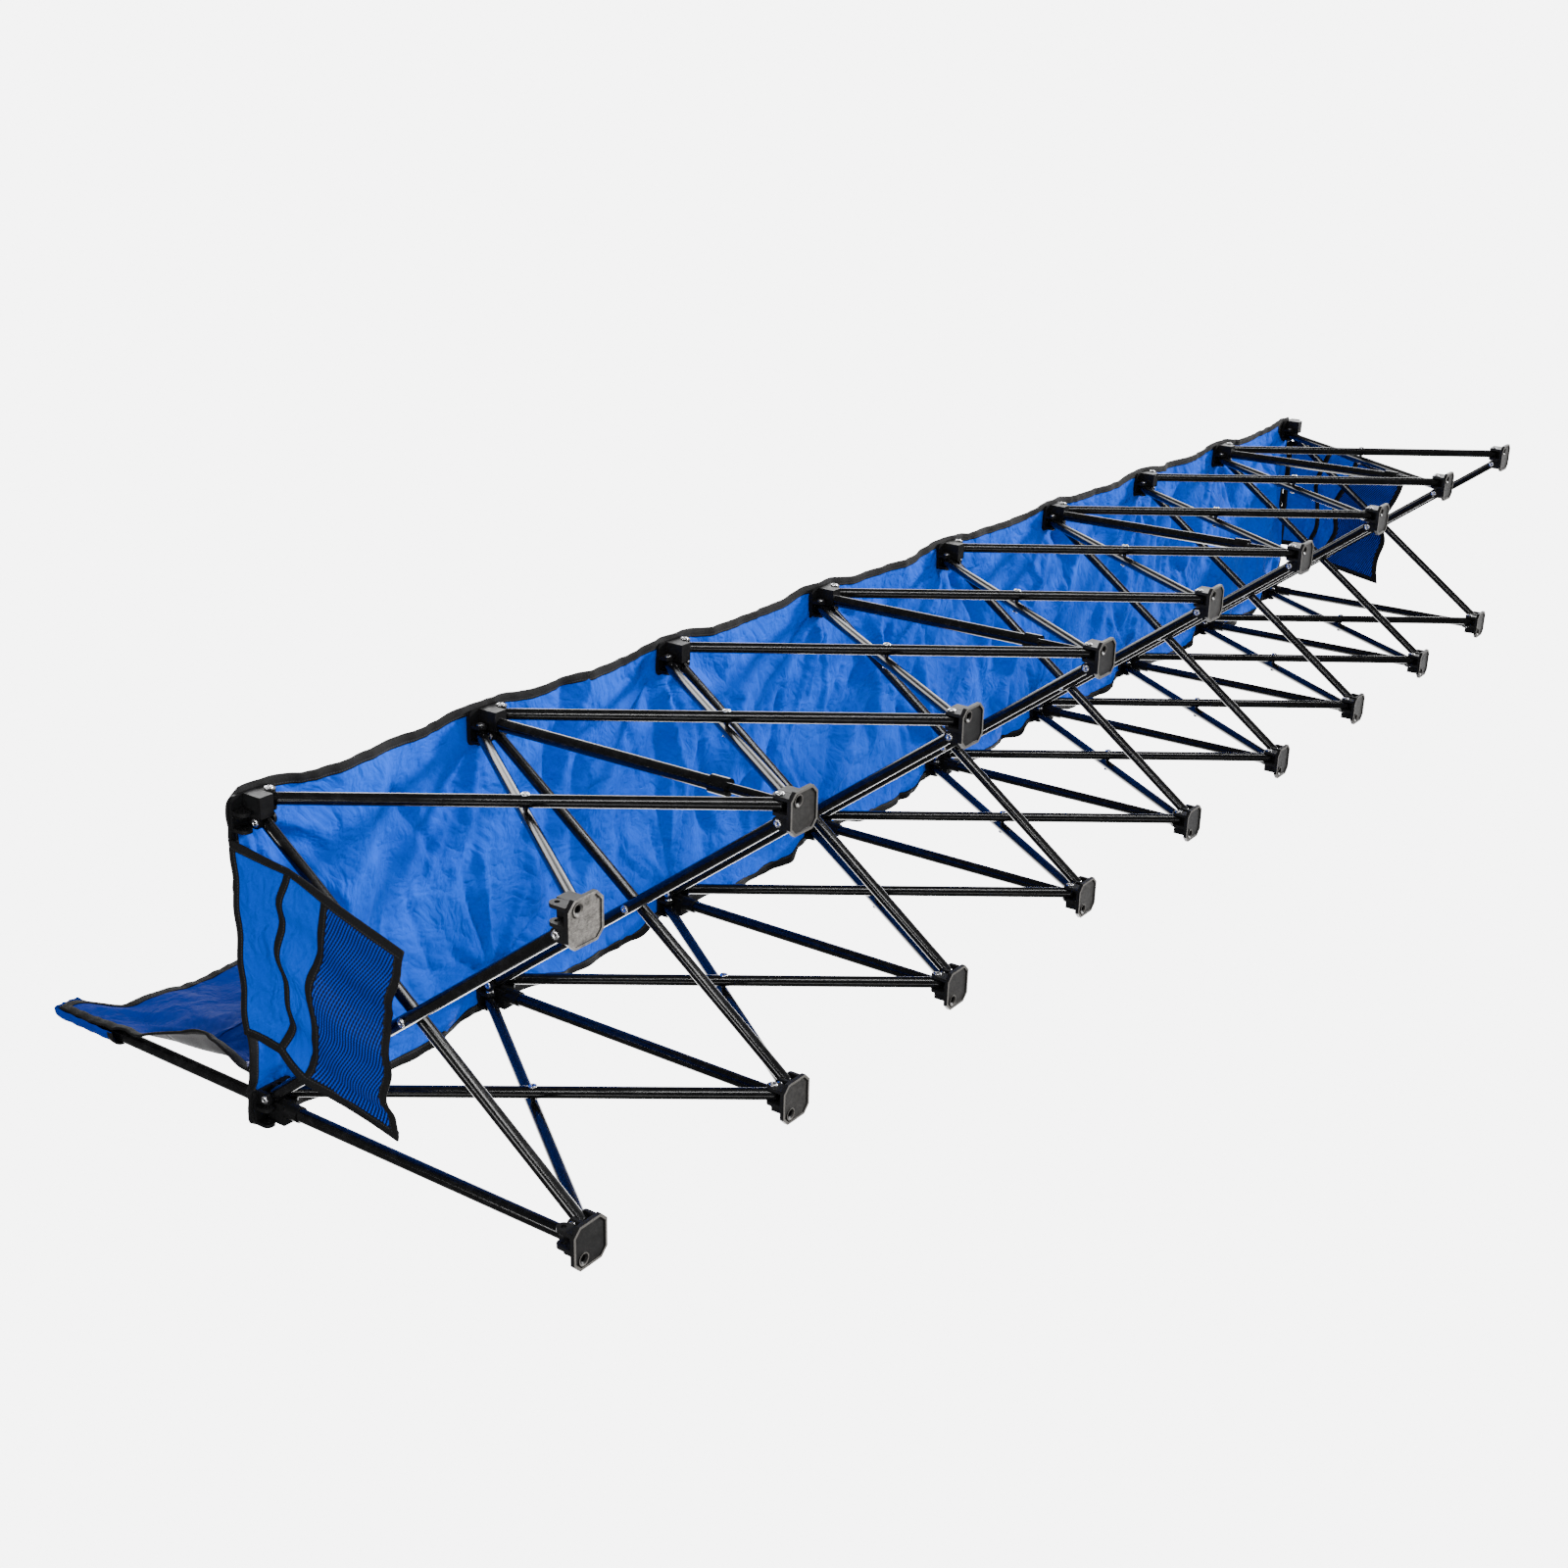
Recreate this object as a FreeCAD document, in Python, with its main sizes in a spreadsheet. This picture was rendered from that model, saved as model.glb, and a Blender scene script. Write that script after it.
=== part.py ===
import FreeCAD, Part
import os
import re
import Sketcher

# Folding sideline bench: nine stations, eight bays, a slung seat and a slung back.
# Frame: X along the bench, the front faces -Y, Z up, soles on Z = 0. Millimetres.

os.makedirs("parts", exist_ok=True)
doc = FreeCAD.newDocument("bench")

STATIONS = 9
BAYS = STATIONS - 1
PROP_STATIONS = (1, 3, 5, 7)

# alias, value, meaning
SIZES = [
    ("pitch", "350", "spacing of the stations along the bench"),
    ("depth", "344", "front frame plane to rear frame plane"),
    ("foot_pivot", "20", "height of the pivots in the feet"),
    ("seat_pivot", "445", "height of the pivots in the seat hubs"),
    ("pin_offset", "17", "face pins, either side of a hub's centre"),
    ("side_pin_offset", "13", "side pins, inwards from the frame plane"),
    ("layer", "8", "tube centre line to the plane of its crossing"),
    ("tube_radius", "7", "scissor and side tubes"),
    ("tube_bore", "5.8", "inside radius of those tubes"),
    ("plug_length", "12", "solid end of each tube, past its pin"),
    ("pin_radius", "3", "rivet shank"),
    ("pin_hole", "3.05", "hole for a rivet shank"),
    ("head_radius", "4.7", "rivet head"),
    ("head_height", "1.5", "rivet head"),
    ("slot_start", "0.6", "near wall of a clevis slot, from the frame plane"),
    ("slot_end", "15.4", "far wall of a clevis slot"),
    ("ear", "4", "thickness of a clevis ear"),
    ("ear_radius", "7.5", "rounding of an ear about its pin"),
    ("hub_half", "9", "half width of the middle of a hub"),
    ("core_reach", "4.6", "hub core towards the side tube"),
    ("roof_low", "9.5", "underside of the hub's roof above the pivots"),
    ("roof_high", "13", "top of the hub's roof above the pivots"),
    ("core_drop", "16", "hub core below its pivots"),
    ("roof_half", "25", "half length of the hub's roof"),
    ("roof_corner", "5", "corner radius of the roof"),
    ("plate_size", "50", "foot plate across its flats"),
    ("plate_height", "5", "foot plate"),
    ("plate_corner", "9", "chamfer of the plate's corners"),
    ("rim", "3", "rim around the sole"),
    ("sole_depth", "1.2", "sole inside its rim"),
    ("dimple_radius", "3.5", "round socket in the sole"),
    ("dimple_mouth", "6.3", "countersink of that socket"),
    ("dimple_depth", "4", "socket and countersink together"),
    ("dimple_along", "10", "socket from the plate's centre along X"),
    ("dimple_out", "14", "socket from the plate's centre, outwards"),
    ("post_radius", "7.5", "back post"),
    ("post_bore", "6.3", "inside radius of the back post"),
    ("post_hole", "7.55", "hole for the back post"),
    ("post_offset", "3", "post behind the rear frame plane"),
    ("post_top", "812", "height of the top of the back post"),
    ("sleeve_radius", "9.2", "collar around the post"),
    ("sleeve_drop", "34", "collar below the hub's pivots"),
    ("prop_offset", "2.5", "telescoping leg ahead of the front plane"),
    ("prop_radius", "8", "outer tube of the telescoping leg"),
    ("prop_bore", "6.8", "inside radius of that tube"),
    ("rod_radius", "5.5", "rod of the telescoping leg"),
    ("rod_hole", "5.55", "hole for the rod in its collar"),
    ("rod_top", "300", "height of the hidden end of the rod"),
    ("collar_radius", "10.5", "collar at the end of the outer tube"),
    ("collar_low", "98", "height of the collar's lower end"),
    ("collar_step", "8", "collar's guide, below the outer tube"),
    ("collar_high", "122", "height of the collar's upper end"),
    ("cloth", "2.2", "thickness of the cloth with its lining"),
    ("seat_half", "1430", "half length of the seat sheet"),
    ("seat_front", "20", "seat sheet ahead of the front plane"),
    ("seat_rear", "25", "seat sheet behind the rear plane"),
    ("seat_rise", "17", "underside of the seat sheet above the hub pivots"),
    ("eyelet_half_x", "10.5", "half width of the seat's opening at a post"),
    ("eyelet_half_y", "9.5", "half depth of the seat's opening at a post"),
    ("back_half", "1420", "half length of the back sheet"),
    ("back_low", "470", "lower edge of the back sheet"),
    ("back_edge", "764", "upper edge of the back sheet between its sleeves"),
    ("back_high", "820", "upper end of the sleeves"),
    ("pocket_low", "711", "mouth of the sleeves on the posts"),
    ("pocket_half", "13", "half width of a sleeve"),
    ("sleeve_gap", "0.5", "cloth to post"),
    ("panel_gap", "28.5", "inner face of an end panel, past the end station"),
    ("panel_front_top", "-141", "Y of its front upper corner"),
    ("panel_rear_top", "85", "Y of its rear upper corner"),
    ("panel_front_low", "-92", "Y of its front lower corner"),
    ("panel_rear_low", "130", "Y of its rear lower corner"),
    ("panel_top", "461", "height of the upper edge of an end panel"),
    ("panel_low_front", "208", "height of its front lower corner"),
    ("panel_low_rear", "234", "height of its rear lower corner"),
]

# Sizes that follow from those above.
DERIVED = {
    "rise": "seat_pivot - foot_pivot",
    "front_plane": "-depth / 2",
    "rear_plane": "depth / 2",
    "face_span": "pitch - 2 * pin_offset",
    "face_length": "sqrt(face_span ^ 2 + rise ^ 2)",
    "face_lean": "atan(face_span / rise) / 1 deg",
    "side_span": "depth - 2 * side_pin_offset",
    "side_length": "sqrt(side_span ^ 2 + rise ^ 2)",
    "side_lean": "atan(side_span / rise) / 1 deg",
    "hub_reach": "slot_end + ear",
    "seat_low": "seat_pivot + seat_rise",
    "post_y": "rear_plane + post_offset",
    "panel_start": "pitch * 4 + panel_gap",
}

sheet = doc.addObject("Spreadsheet::Sheet", "Sizes")
for row, (alias, value, meaning) in enumerate(SIZES, 1):
    sheet.set(f"A{row}", alias)
    sheet.set(f"B{row}", value)
    sheet.set(f"C{row}", meaning)
    sheet.setAlias(f"B{row}", alias)
doc.recompute()

NAMES = re.compile(r"\b(" + "|".join([row[0] for row in SIZES] + list(DERIVED)) + r")\b")


def formula(text):
    """The expression for text: derived sizes are written out, the rest read from the sheet."""

    def written(found):
        name = found.group(1)
        return f"({formula(DERIVED[name])})" if name in DERIVED else f"Sizes.{name}"

    return NAMES.sub(written, str(text))


def bind(obj, **values):
    for name, value in values.items():
        obj.setExpression(name.replace("_at_", "."), formula(value))
    return obj


def place(obj, x, y, z):
    for axis, value in zip("xyz", (x, y, z)):
        obj.setExpression(f"Placement.Base.{axis}", formula(value))
    return obj


def box(x, y, z):
    """A box from three (low, high) pairs."""
    obj = doc.addObject("Part::Box", "box")
    for name, (low, high) in zip(("Length", "Width", "Height"), (x, y, z)):
        obj.setExpression(name, formula(f"({high}) - ({low})"))
    return place(obj, x[0], y[0], z[0])


def rod(axis, radius, centre, low, high):
    """A cylinder along axis from low to high; centre is its place on the other two axes."""
    obj = doc.addObject("Part::Cylinder", "rod")
    bind(obj, Radius=radius, Height=f"({high}) - ({low})")
    if axis == "x":
        obj.Placement.Rotation = FreeCAD.Rotation(FreeCAD.Vector(0, 1, 0), 90)
        return place(obj, low, centre[0], centre[1])
    if axis == "y":
        obj.Placement.Rotation = FreeCAD.Rotation(FreeCAD.Vector(1, 0, 0), -90)
        return place(obj, centre[0], low, centre[1])
    return place(obj, centre[0], centre[1], low)


def fuse(*shapes):
    obj = doc.addObject("Part::MultiFuse", "fused")
    obj.Shapes = list(shapes)
    return obj


def cut(base, *tools):
    obj = doc.addObject("Part::Cut", "cut")
    obj.Base = base
    obj.Tool = tools[0] if len(tools) == 1 else fuse(*tools)
    return obj


def group(name, *shapes):
    """Separate solids held together in one object."""
    obj = doc.addObject("Part::Compound", name)
    obj.Links = list(shapes)
    return obj


def upright_edges(obj):
    """The numbers of a box's edges along Z."""
    doc.recompute()
    found = []
    for number, edge in enumerate(obj.Shape.Edges, 1):
        along = edge.lastVertex().Point - edge.firstVertex().Point
        if abs(along.z) > 0.99 * along.Length:
            found.append(number)
    return found


def rounded(obj, radius):
    out = doc.addObject("Part::Fillet", "rounded")
    out.Base = obj
    out.Edges = [(n, radius, radius) for n in upright_edges(obj)]
    return out


def chamfered(obj, size):
    out = doc.addObject("Part::Chamfer", "chamfered")
    out.Base = obj
    out.Edges = [(n, size, size) for n in upright_edges(obj)]
    return out


def span(sign, low, high):
    """(low, high) measured along sign from the frame plane."""
    if sign > 0:
        return f"({low})", f"({high})"
    return f"-({high})", f"-({low})"


def shifted(pair, origin):
    return f"{origin} + {pair[0]}", f"{origin} + {pair[1]}"


def rivet(axis, centre, low, high):
    """A rivet whose heads bear on the outer faces at low and high."""
    return fuse(
        rod(axis, "pin_radius", centre, low, high),
        rod(axis, "head_radius", centre, f"({low}) - head_height", low),
        rod(axis, "head_radius", centre, high, f"({high}) + head_height"),
    )


def ear_about(axis, centre, along, z_far, level):
    """A clevis ear: rounded about its pin, and running on to the roof or the plate."""
    z = (level, z_far) if "roof" in z_far else (z_far, level)
    disc = rod(axis, "ear_radius", (centre, level), *along)
    wide = (f"{centre} - ear_radius", f"{centre} + ear_radius")
    block = box(wide, along, z) if axis == "y" else box(along, wide, z)
    return disc, block


def moulding(upper, front):
    """A hub (upper) or a foot, with clevises for two face tubes and one side tube.

    Returns the moulding, its left and right face rivets and its side rivet."""
    y0 = "front_plane" if front else "rear_plane"
    z0 = "seat_pivot" if upper else "foot_pivot"
    inward = 1 if front else -1
    side_x = 1 if upper == front else -1
    z_far = "seat_pivot + roof_high" if upper else "foot_pivot - core_drop"
    core_y = span(-inward, "-core_reach", "hub_reach")
    core_top = z_far if upper else "foot_pivot + 8"
    core_low = "seat_pivot - core_drop" if upper else z_far
    solids = [
        box(("-hub_half", "hub_half"), shifted(core_y, y0), (core_low, core_top))
    ]
    holes, rivets = [], []
    for side in (-1, 1):
        # the right-hand tube of a hub is in the outer layer, that of a foot in the inner
        layer = -side if upper else side
        x = f"{side} * pin_offset"
        for low, high in (("-ear + slot_start", "slot_start"), ("slot_end", "hub_reach")):
            along = shifted(span(layer, low, high), y0)
            solids += ear_about("y", x, along, z_far, z0)
        whole = shifted(span(layer, "-ear + slot_start", "hub_reach"), y0)
        holes.append(
            rod("y", "pin_hole", (x, z0), f"{whole[0]} - 0.1", f"{whole[1]} + 0.1")
        )
        rivets.append(rivet("y", (x, z0), *whole))
    y = f"{y0} + {inward} * side_pin_offset"
    for low, high in (("-ear + slot_start", "slot_start"), ("slot_end", "hub_reach")):
        solids += ear_about("x", y, span(side_x, low, high), z_far, z0)
    whole = span(side_x, "-ear + slot_start", "hub_reach")
    holes.append(
        rod("x", "pin_hole", (y, z0), f"{whole[0]} - 0.1", f"{whole[1]} + 0.1")
    )
    rivets.append(rivet("x", (y, z0), *whole))
    if upper:
        reach = span(inward, "-hub_reach", "side_pin_offset + ear_radius")
        roof = box(
            ("-roof_half", "roof_half"),
            shifted(reach, y0),
            (f"{z0} + roof_low", f"{z0} + roof_high"),
        )
        solids.append(rounded(roof, sheet.get("roof_corner")))
    else:
        solids.append(foot_plate(y0, inward))
    if not front:
        behind = f"{y0} + post_offset"
        if upper:
            low, high = f"{z0} - sleeve_drop", f"{z0} + roof_high"
            hole_low = f"{low} - 1"
        else:
            low, high = z_far, f"{z0} + 14"
            hole_low = f"{z0} - 13"
        solids.append(rod("z", "sleeve_radius", ("0", behind), low, high))
        holes.append(rod("z", "post_hole", ("0", behind), hole_low, f"{high} + 1"))
    return cut(fuse(*solids), *holes), rivets


def foot_plate(y0, inward):
    """The plate of a foot: chamfered corners, a rimmed sole and a blind socket."""
    half = "plate_size / 2"
    inner = "(plate_size / 2 - rim)"
    plate = chamfered(
        box(
            (f"-{half}", half),
            (f"{y0} - {half}", f"{y0} + {half}"),
            ("0", "plate_height"),
        ),
        sheet.get("plate_corner"),
    )
    sole = chamfered(
        box(
            (f"-{inner}", inner),
            (f"{y0} - {inner}", f"{y0} + {inner}"),
            ("-1", "sole_depth"),
        ),
        sheet.get("plate_corner") - sheet.get("rim") / 2,
    )
    boss_at = ("-dimple_along", f"{y0} - {inward} * dimple_out")
    boss = rod("z", "dimple_mouth + 1", boss_at, "0.2", "plate_height")
    socket = rod("z", "dimple_radius", boss_at, "-1", "dimple_depth")
    mouth = doc.addObject("Part::Cone", "mouth")
    bind(mouth, Radius1="dimple_mouth", Radius2="dimple_radius", Height="2")
    place(mouth, *boss_at, "0.2")
    return cut(fuse(cut(plate, sole), boss), socket, mouth)


def tube(length, pivot):
    """A tube standing on its lower pin: rounded plugged ends and three rivet holes."""
    outer = rod("z", "tube_radius", ("0", "0"), "-tube_radius", f"{length} + tube_radius")
    wide, deep = ("-tube_radius", "tube_radius"), ("-tube_radius - 1", "tube_radius + 1")
    middle = box(wide, deep, ("0", length)) if pivot == "y" else box(deep, wide, ("0", length))
    ends = [rod(pivot, "tube_radius", ("0", z), *deep) for z in ("0", length)]
    body = doc.addObject("Part::MultiCommon", "body")
    body.Shapes = [outer, fuse(middle, *ends)]
    heights = ("0", f"{length} / 2", length)
    holes = [rod(pivot, "pin_hole", ("0", z), *deep) for z in heights]
    bore = rod("z", "tube_bore", ("0", "0"), "plug_length", f"{length} - plug_length")
    return cut(body, bore, *holes)


def leaning(shape, axis, angle, x, y, z):
    """shape, turned about axis and stood on its lower pin at x, y, z."""
    obj = group("leaning", shape)
    turn = FreeCAD.Vector(0, 1, 0) if axis == "y" else FreeCAD.Vector(1, 0, 0)
    obj.Placement.Rotation = FreeCAD.Rotation(turn, 30)
    obj.setExpression("Placement.Rotation.Angle", formula(angle))
    return place(obj, x, y, z)


def along_bench(obj, station):
    obj.setExpression("Placement.Base.x", formula(f"({station - BAYS // 2}) * pitch"))
    return obj


nodes = []

# Hubs and feet, with only the face rivets that a station has neighbours for.
MOULDINGS = {}
for upper in (True, False):
    MOULDINGS[upper] = [moulding(upper, front) for front in (True, False)]

for station in range(STATIONS):
    for upper, name in ((True, "seat_hubs"), (False, "feet")):
        solids = []
        for body, (left, right, side) in MOULDINGS[upper]:
            solids.append(body)
            solids.append(side)
            if station > 0:
                solids.append(left)
            if station < STATIONS - 1:
                solids.append(right)
        nodes.append(along_bench(group(f"{name}_{station}", *solids), station))

# Back posts; at the propped stations the rod of the telescoping leg goes with them.
post_at = ("0", "post_y")
post = cut(
    rod("z", "post_radius", post_at, "foot_pivot - 13", "post_top"),
    rod("z", "post_bore", post_at, "foot_pivot", "post_top + 1"),
)
prop_at = ("0", "front_plane - prop_offset")
prop_rod = rod("z", "rod_radius", prop_at, "foot_pivot + 8", "rod_top")
prop_tube = cut(
    rod("z", "prop_radius", prop_at, "collar_low + collar_step", "seat_pivot - core_drop"),
    rod("z", "prop_bore", prop_at, "collar_low", "seat_pivot - core_drop - 6"),
)
collar = cut(
    rod("z", "collar_radius", prop_at, "collar_low", "collar_high"),
    rod("z", "rod_hole", prop_at, "collar_low - 1", "collar_high + 1"),
    rod("z", "prop_radius", prop_at, "collar_low + collar_step", "collar_high + 1"),
)
for station in range(STATIONS):
    lower = [post, prop_rod] if station in PROP_STATIONS else [post]
    nodes.append(along_bench(group(f"back_post_{station}", *lower), station))
    if station in PROP_STATIONS:
        sleeve = group(f"prop_sleeve_{station}", prop_tube, collar)
        nodes.append(along_bench(sleeve, station))

# Side braces: the crossed pair between the front and the rear frame.
side_tube = tube("side_length", "x")
back_brace = leaning(
    side_tube, "x", "side_lean", "layer", "rear_plane - side_pin_offset", "foot_pivot"
)
front_brace = leaning(
    side_tube, "x", "-side_lean", "-layer", "front_plane + side_pin_offset", "foot_pivot"
)
slots = []
for x, y in (("layer", "front_plane + side_pin_offset"), ("-layer", "rear_plane - side_pin_offset")):
    slots.append(
        box(
            (f"{x} - tube_radius - 1", f"{x} + tube_radius + 1"),
            (f"{y} - 3.2", f"{y} + 3.2"),
            ("seat_pivot", "seat_pivot + tube_radius + 1"),
        )
    )
side_rivet = rivet(
    "x", ("0", "foot_pivot + rise / 2"), "-layer - tube_radius", "layer + tube_radius"
)
braces = [cut(back_brace, slots[0]), cut(front_brace, slots[1]), side_rivet]
for station in range(STATIONS):
    nodes.append(along_bench(group(f"side_braces_{station}", *braces), station))

# Face tubes: each bay has a falling and a rising tube in both frames.
face_tube = tube("face_length", "y")
falling, rising = [], []
for plane in ("front_plane", "rear_plane"):
    x, y = "pitch - pin_offset", f"{plane} - layer"
    falling.append(leaning(face_tube, "y", "-face_lean", x, y, "foot_pivot"))
    low, high = f"{plane} - layer - tube_radius", f"{plane} + layer + tube_radius"
    falling.append(rivet("y", ("pitch / 2", "foot_pivot + rise / 2"), low, high))
    x, y = "pin_offset", f"{plane} + layer"
    rising.append(leaning(face_tube, "y", "face_lean", x, y, "foot_pivot"))
for bay in range(BAYS):
    nodes.append(along_bench(group(f"falling_tubes_{bay}", *falling), bay))
    nodes.append(along_bench(group(f"rising_tubes_{bay}", *rising), bay))

# Seat sheet, with an opening around each post.
every_station = [f"({i - BAYS // 2}) * pitch" for i in range(STATIONS)]
seat = box(
    ("-seat_half", "seat_half"),
    ("front_plane - seat_front", "rear_plane + seat_rear"),
    ("seat_low", "seat_low + cloth"),
)
eyelets = [
    box(
        (f"{x} - eyelet_half_x", f"{x} + eyelet_half_x"),
        ("post_y - eyelet_half_y", "post_y + eyelet_half_y"),
        ("seat_low - 1", "seat_low + cloth + 1"),
    )
    for x in every_station
]
nodes.append(group("seat_sheet", cut(seat, *eyelets)))

# Back sheet: a panel ahead of the posts, with a sleeve closed over each post's top.
panel_rear = "post_y - post_radius - sleeve_gap"
back = box(
    ("-back_half", "back_half"),
    (f"{panel_rear} - cloth", panel_rear),
    ("back_low", "back_edge"),
)
sleeve_rear = "post_y + post_radius + sleeve_gap"
sleeves, hollows = [], []
for x in every_station:
    sleeves.append(
        box(
            (f"{x} - pocket_half", f"{x} + pocket_half"),
            (f"{panel_rear} - cloth", f"{sleeve_rear} + cloth"),
            ("pocket_low", "back_high"),
        )
    )
    hollows.append(
        box(
            (f"{x} - pocket_half + cloth", f"{x} + pocket_half - cloth"),
            (panel_rear, sleeve_rear),
            ("pocket_low - 1", "back_high - cloth"),
        )
    )
nodes.append(group("backrest_sheet", cut(fuse(back, *sleeves), *hollows)))


def end_panel(name, side):
    """The hanging end panel, drawn from its four corners and thickened outwards."""
    corners = [
        ("panel_front_top", "panel_top"),
        ("panel_rear_top", "panel_top"),
        ("panel_rear_low", "panel_low_rear"),
        ("panel_front_low", "panel_low_front"),
    ]
    values = [(sheet.get(a), sheet.get(b)) for a, b in corners]
    sketch = doc.addObject("Sketcher::SketchObject", f"{name}_outline")
    sketch.Placement = FreeCAD.Placement(
        FreeCAD.Vector(0, 0, 0), FreeCAD.Rotation(0.5, 0.5, 0.5, 0.5)
    )
    for n, (a, b) in enumerate(values):
        c, d = values[(n + 1) % 4]
        line = Part.LineSegment(FreeCAD.Vector(a, b, 0), FreeCAD.Vector(c, d, 0))
        sketch.addGeometry(line, False)

    for n in range(4):
        sketch.addConstraint(Sketcher.Constraint("Coincident", n, 2, (n + 1) % 4, 1))
    for n, (alias_y, alias_z) in enumerate(corners):
        for kind, alias, value in (
            ("DistanceX", alias_y, values[n][0]),
            ("DistanceY", alias_z, values[n][1]),
        ):
            at = sketch.addConstraint(Sketcher.Constraint(kind, -1, 1, n, 1, value))
            sketch.setExpression(f"Constraints[{at}]", formula(alias))
    solid = doc.addObject("Part::Extrusion", f"{name}_solid")
    solid.Base = sketch
    solid.DirMode = "Custom"
    solid.Dir = FreeCAD.Vector(side, 0, 0)
    solid.Solid = True
    bind(solid, LengthFwd="cloth")
    solid.setExpression("Placement.Base.x", formula(f"{side} * panel_start"))
    return group(name, solid)


nodes.append(end_panel("end_panel_left", -1))
nodes.append(end_panel("end_panel_right", 1))

doc.recompute()
for obj in doc.Objects:
    if "Invalid" in obj.State or "Error" in obj.State:
        raise RuntimeError(f"{obj.Name} did not compute: {obj.State}")
for node in nodes:
    node.Label = node.Name
    shape = node.Shape
    if shape.isNull() or not shape.isValid() or not shape.Solids:
        raise RuntimeError(f"{node.Label} has no valid shape")
    shape.exportStep(f"parts/{node.Label}.step")
    box_of = shape.BoundBox
    print(
        f"{node.Label} solids {len(shape.Solids)} volume {shape.Volume:.0f}"
        f" x {box_of.XMin:.1f} {box_of.XMax:.1f} y {box_of.YMin:.1f} {box_of.YMax:.1f}"
        f" z {box_of.ZMin:.1f} {box_of.ZMax:.1f}"
    )
print(len(nodes), "nodes")
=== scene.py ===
import math

import bpy
import numpy as np
from mathutils import Matrix, Vector


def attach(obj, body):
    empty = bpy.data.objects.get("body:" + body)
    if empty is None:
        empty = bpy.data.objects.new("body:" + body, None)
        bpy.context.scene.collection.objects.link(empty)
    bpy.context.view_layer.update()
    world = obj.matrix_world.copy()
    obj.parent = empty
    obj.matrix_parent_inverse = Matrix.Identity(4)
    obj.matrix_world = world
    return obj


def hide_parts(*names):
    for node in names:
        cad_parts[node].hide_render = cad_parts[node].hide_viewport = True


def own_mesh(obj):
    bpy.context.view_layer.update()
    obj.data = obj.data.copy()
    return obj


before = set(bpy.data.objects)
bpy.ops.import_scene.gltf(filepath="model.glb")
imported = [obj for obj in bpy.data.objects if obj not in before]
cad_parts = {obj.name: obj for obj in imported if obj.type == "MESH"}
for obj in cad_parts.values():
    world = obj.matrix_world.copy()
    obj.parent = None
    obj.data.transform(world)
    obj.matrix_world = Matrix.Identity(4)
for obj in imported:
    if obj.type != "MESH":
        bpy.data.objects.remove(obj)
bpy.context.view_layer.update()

# Sizes of the frame, in metres, as in the part's sheet.
STATIONS = 9
PITCH = 0.350
XS = [(i - 4) * PITCH for i in range(STATIONS)]
FRONT, REAR = -0.172, 0.172
FOOT, SEAT = 0.020, 0.445
PIN, SIDE_PIN, LAYER = 0.017, 0.013, 0.008
HUB_OUT, HUB_IN = 0.0194, 0.0034
POST_Y = 0.175
SEAT_Z = 0.4615


# ---------------------------------------------------------------- materials


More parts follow.
